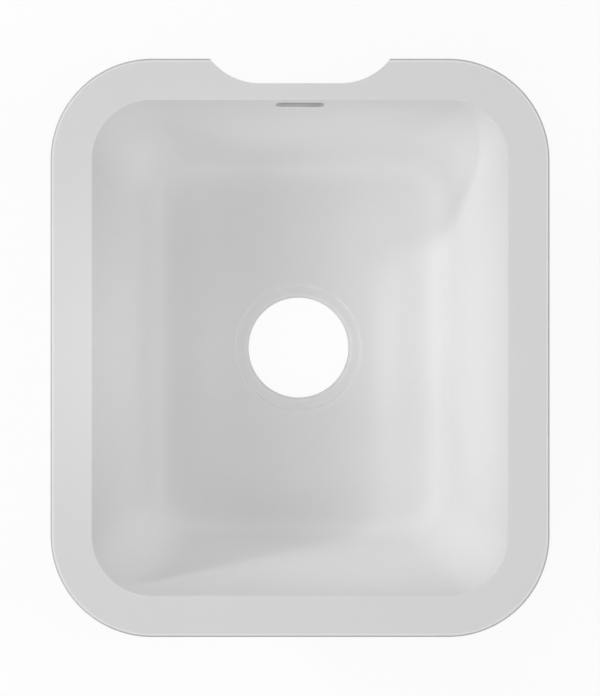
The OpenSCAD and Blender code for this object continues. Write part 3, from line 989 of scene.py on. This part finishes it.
def ramp(nodes, links, source, dark, light, span=NOISE_RANGE):
    """Maps a grey source onto the shades between two colours."""
    node = nodes.new("ShaderNodeValToRGB")
    for element, position, colour in zip(node.color_ramp.elements, span, (dark, light)):
        element.position = position
        element.color = (*colour, 1)
    links.new(source, node.inputs["Fac"])
    return node.outputs["Color"]


def spread(nodes, links, source, low, high):
    """Maps a grey source onto a range of numbers."""
    node = nodes.new("ShaderNodeMapRange")
    node.inputs["From Min"].default_value = NOISE_RANGE[0]
    node.inputs["From Max"].default_value = NOISE_RANGE[1]
    node.inputs["To Min"].default_value = low
    node.inputs["To Max"].default_value = high
    links.new(source, node.inputs["Value"])
    return node.outputs["Result"]


def blend(nodes, links, factor, first, second):
    """Colour first where the factor is 0 and second where it is 1."""
    node = nodes.new("ShaderNodeMix")
    node.data_type = "RGBA"
    links.new(factor, node.inputs["Factor"])
    links.new(first, node.inputs["A"])
    links.new(second, node.inputs["B"])
    return node.outputs["Result"]


def bump(nodes, links, source, strength, distance, under=None):
    """Raises the surface by a grey source, on top of another bump where one is given."""
    node = nodes.new("ShaderNodeBump")
    node.inputs["Strength"].default_value = strength
    node.inputs["Distance"].default_value = distance
    links.new(source, node.inputs["Height"])
    if under is not None:
        links.new(under, node.inputs["Normal"])
    return node.outputs["Normal"]


def cast_material(name, tone, cloud_swing, grain_swing, roughness, roughcast):
    """Cast mineral-filled acrylic: a cloudy tone, a mineral grain and a matt, slightly uneven surface."""
    material, nodes, links = new_material(name)
    surface = nodes["Principled BSDF"]
    cloud = noise(nodes, links, scale=14, detail=5, roughness=0.55)
    grain = noise(nodes, links, scale=1400, detail=2, roughness=0.6)
    cloudy = ramp(nodes, links, cloud, grey(tone - cloud_swing), grey(tone + cloud_swing))
    grainy = ramp(nodes, links, grain, grey(tone - grain_swing), grey(tone + grain_swing), GRAIN_RANGE)
    patches = noise(nodes, links, scale=220, detail=2)
    grain_share = spread(nodes, links, patches, low=0.4, high=0.6)
    links.new(blend(nodes, links, grain_share, cloudy, grainy), surface.inputs["Base Color"])
    wear = noise(nodes, links, scale=90, detail=4)
    links.new(spread(nodes, links, wear, *roughness), surface.inputs["Roughness"])
    waves = noise(nodes, links, scale=35, detail=2)
    ripple = bump(nodes, links, waves, roughcast, distance=0.6 * MM)
    pits = bump(nodes, links, grain, roughcast, distance=0.12 * MM, under=ripple)
    links.new(pits, surface.inputs["Normal"])
    surface.inputs["IOR"].default_value = GLOSS_IOR
    return material


def moulded_material(name, dark, light, roughness, grain_scale):
    """Moulded plastic or rubber: a slight tone change, flow streaks and a fine mould grain."""
    material, nodes, links = new_material(name)
    surface = nodes["Principled BSDF"]
    streak = noise(nodes, links, scale=45, detail=4, roughness=0.55, stretch=(1, 1, 0.25))
    links.new(ramp(nodes, links, streak, dark, light), surface.inputs["Base Color"])
    links.new(spread(nodes, links, streak, *roughness), surface.inputs["Roughness"])
    grain = noise(nodes, links, scale=grain_scale, detail=3)
    links.new(bump(nodes, links, grain, strength=0.12, distance=0.1 * MM), surface.inputs["Normal"])
    surface.inputs["IOR"].default_value = GLOSS_IOR
    return material


def metal_material(name, dark, light, roughness):
    """Bare metal: fine scratches over a slightly stained tone."""
    material, nodes, links = new_material(name)
    surface = nodes["Principled BSDF"]
    stain = noise(nodes, links, scale=160, detail=5, roughness=0.6)
    links.new(ramp(nodes, links, stain, dark, light), surface.inputs["Base Color"])
    scratch = noise(nodes, links, scale=900, detail=3, roughness=0.6, stretch=(1, 0.15, 1))
    links.new(spread(nodes, links, scratch, *roughness), surface.inputs["Roughness"])
    links.new(bump(nodes, links, scratch, strength=0.15, distance=0.05 * MM), surface.inputs["Normal"])
    surface.inputs["Metallic"].default_value = 1.0
    return material


def wear_only(piece, material):
    """Makes this the only material of a piece."""
    piece.data.materials.clear()
    piece.data.materials.append(material)


def fit_piece(piece, body, node_name, material=None):
    """Puts a detailed piece in a node's place."""
    if material is not None:
        wear_only(piece, material)
    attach(piece, body)
    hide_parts(node_name)


def make_camera():
    """Straight down on the bowl from far away, with the tap side at the top of the picture."""
    data = bpy.data.cameras.new("camera")
    data.sensor_width = SENSOR_W
    data.lens = SENSOR_W * CAMERA_DISTANCE / (PICTURE_H * PIXEL)
    data.clip_end = 3 * CAMERA_DISTANCE
    camera = bpy.data.objects.new("camera", data)
    aim = Vector((*CAMERA_AIM, TOTAL_H))
    back = Vector((math.tan(CAMERA_LEAN[0]), math.tan(CAMERA_LEAN[1]), 1))
    camera.location = aim + back * CAMERA_DISTANCE
    camera.rotation_euler = (-CAMERA_LEAN[1], CAMERA_LEAN[0], 0)
    bpy.context.scene.collection.objects.link(camera)
    bpy.context.scene.camera = camera


def make_sun(name, azimuth, elevation, width, strength):
    """A soft distant lamp. Azimuth runs from +X towards +Y, all angles are in degrees."""
    around, up = math.radians(azimuth), math.radians(elevation)
    towards = Vector((math.cos(up) * math.cos(around), math.cos(up) * math.sin(around), math.sin(up)))
    data = bpy.data.lights.new(name, "SUN")
    data.energy = strength
    data.angle = math.radians(width)
    lamp = bpy.data.objects.new(name, data)
    lamp.rotation_mode = "QUATERNION"
    lamp.rotation_quaternion = towards.to_track_quat("Z", "Y")
    bpy.context.scene.collection.objects.link(lamp)


def make_bulb(name, place, strength):
    """A small soft lamp near the bowl, which isn't seen itself."""
    data = bpy.data.lights.new(name, "POINT")
    data.energy = strength
    data.shadow_soft_size = BULB_R
    lamp = bpy.data.objects.new(name, data)
    lamp.location = place
    lamp.visible_camera = False
    lamp.visible_glossy = False
    bpy.context.scene.collection.objects.link(lamp)


def seen_directly(nodes, links):
    """1 for rays that show the background, to the camera, in gloss or through glass. 0 for other rays."""
    path = nodes.new("ShaderNodeLightPath")
    total = path.outputs["Is Camera Ray"]
    for other in ("Is Glossy Ray", "Is Transmission Ray"):
        add = nodes.new("ShaderNodeMath")
        add.operation = "MAXIMUM"
        links.new(total, add.inputs[0])
        links.new(path.outputs[other], add.inputs[1])
        total = add.outputs["Value"]
    return total


def plain_shader(nodes, kind, tone):
    """A shader of one grey tone."""
    shader = nodes.new(kind)
    shader.inputs["Color"].default_value = (*grey(tone), 1)
    return shader


def choose_shader(nodes, links, first, second):
    """A mix of two shaders: the first where its factor is 0 and the second where it is 1."""
    node = nodes.new("ShaderNodeMixShader")
    links.new(first.outputs[0], node.inputs[1])
    links.new(second.outputs[0], node.inputs[2])
    return node


def make_world():
    """Even light from all round, seen as white."""
    world = bpy.data.worlds.new("world")
    world.use_nodes = True
    nodes, links = world.node_tree.nodes, world.node_tree.links
    nodes.clear()
    even = plain_shader(nodes, "ShaderNodeBackground", 1)
    even.inputs["Strength"].default_value = WORLD_STRENGTH
    white = plain_shader(nodes, "ShaderNodeBackground", 1)
    choose = choose_shader(nodes, links, even, white)
    links.new(seen_directly(nodes, links), choose.inputs["Fac"])
    out = nodes.new("ShaderNodeOutputWorld")
    links.new(choose.outputs[0], out.inputs["Surface"])
    bpy.context.scene.world = world


def floor_material():
    """A matt grey to the light, seen as nearly white where no shadow falls."""
    material, nodes, links = new_material("floor")
    nodes.clear()
    matt = plain_shader(nodes, "ShaderNodeBsdfDiffuse", FLOOR_TONE)
    pale = plain_shader(nodes, "ShaderNodeBsdfDiffuse", 1)
    white = plain_shader(nodes, "ShaderNodeEmission", 1)
    seen = choose_shader(nodes, links, pale, white)
    seen.inputs["Fac"].default_value = FLOOR_WHITE
    choose = choose_shader(nodes, links, matt, seen)
    links.new(seen_directly(nodes, links), choose.inputs["Fac"])
    out = nodes.new("ShaderNodeOutputMaterial")
    links.new(choose.outputs[0], out.inputs["Surface"])
    return material


def make_floor():
    """A wide pale floor, which keeps the object's shadow."""
    bm = bmesh.new()
    bmesh.ops.create_grid(bm, x_segments=8, y_segments=8, size=FLOOR_HALF)
    mesh = bpy.data.meshes.new("floor")
    bm.to_mesh(mesh)
    bm.free()
    floor = bpy.data.objects.new("floor", mesh)
    floor.location.z = -FLOOR_GAP
    floor.data.materials.append(floor_material())
    bpy.context.scene.collection.objects.link(floor)


# Finishes of the casting, in the order of its list of materials
cast_finishes = [
    cast_material("cast_sanded", FACE_TONE, roughness=(0.46, 0.54), **SMOOTH_CAST),
    # Machined finish, lighter as a painted highlight on the edge strip and as painted light in the cut
    # faces
    cast_material("cast_machined_painted_highlight", EDGE_HIGHLIGHT_TONE, roughness=(0.42, 0.5), **SMOOTH_CAST),
    # Turned finish, lighter as a painted highlight on the drain lip and recess step
    cast_material("cast_turned_painted_highlight", DRAIN_HIGHLIGHT_TONE, roughness=(0.42, 0.5), **SMOOTH_CAST),
    # Raw finish, darker partly as painted shade on the flange's side
    cast_material("cast_raw_painted_shade", BACK_SHADE_TONE, roughness=(0.58, 0.75), **RAW_CAST),
]
rubber = moulded_material("black_rubber", *RUBBER, roughness=(0.55, 0.7), grain_scale=900)
steel = metal_material("bright_steel", *STEEL, roughness=(0.22, 0.42))
brass = metal_material("turned_brass", *BRASS, roughness=(0.28, 0.45))
cover_plastic = moulded_material("cover_plastic", *COVER_PLASTIC, roughness=(0.36, 0.5), grain_scale=1500)
pipe_plastic = moulded_material("pipe_plastic", *ELBOW_PLASTIC, roughness=(0.33, 0.46), grain_scale=1500)

fit_piece(make_bowl(cast_finishes), "basin", "bowl")
fit_piece(make_housing(), "basin", "overflow_housing", cover_plastic)
fit_piece(make_washers(), "basin", "overflow_washers", steel)
fit_piece(make_screws(), "basin", "overflow_screws", steel)
fit_piece(make_clip(), "basin", "outlet_clip", steel)
fit_piece(make_elbow(), "elbow", "outlet_elbow", pipe_plastic)
wear_only(frame["nodes"]["overflow_inserts"], brass)
wear_only(frame["nodes"]["overflow_gasket"], rubber)
wear_only(frame["nodes"]["outlet_o_ring"], rubber)

make_camera()
make_world()
for settings in SUNS:
    make_sun(*settings)
for settings in BULBS:
    make_bulb(*settings)
make_floor()
bpy.context.scene.view_settings.view_transform = "Standard"
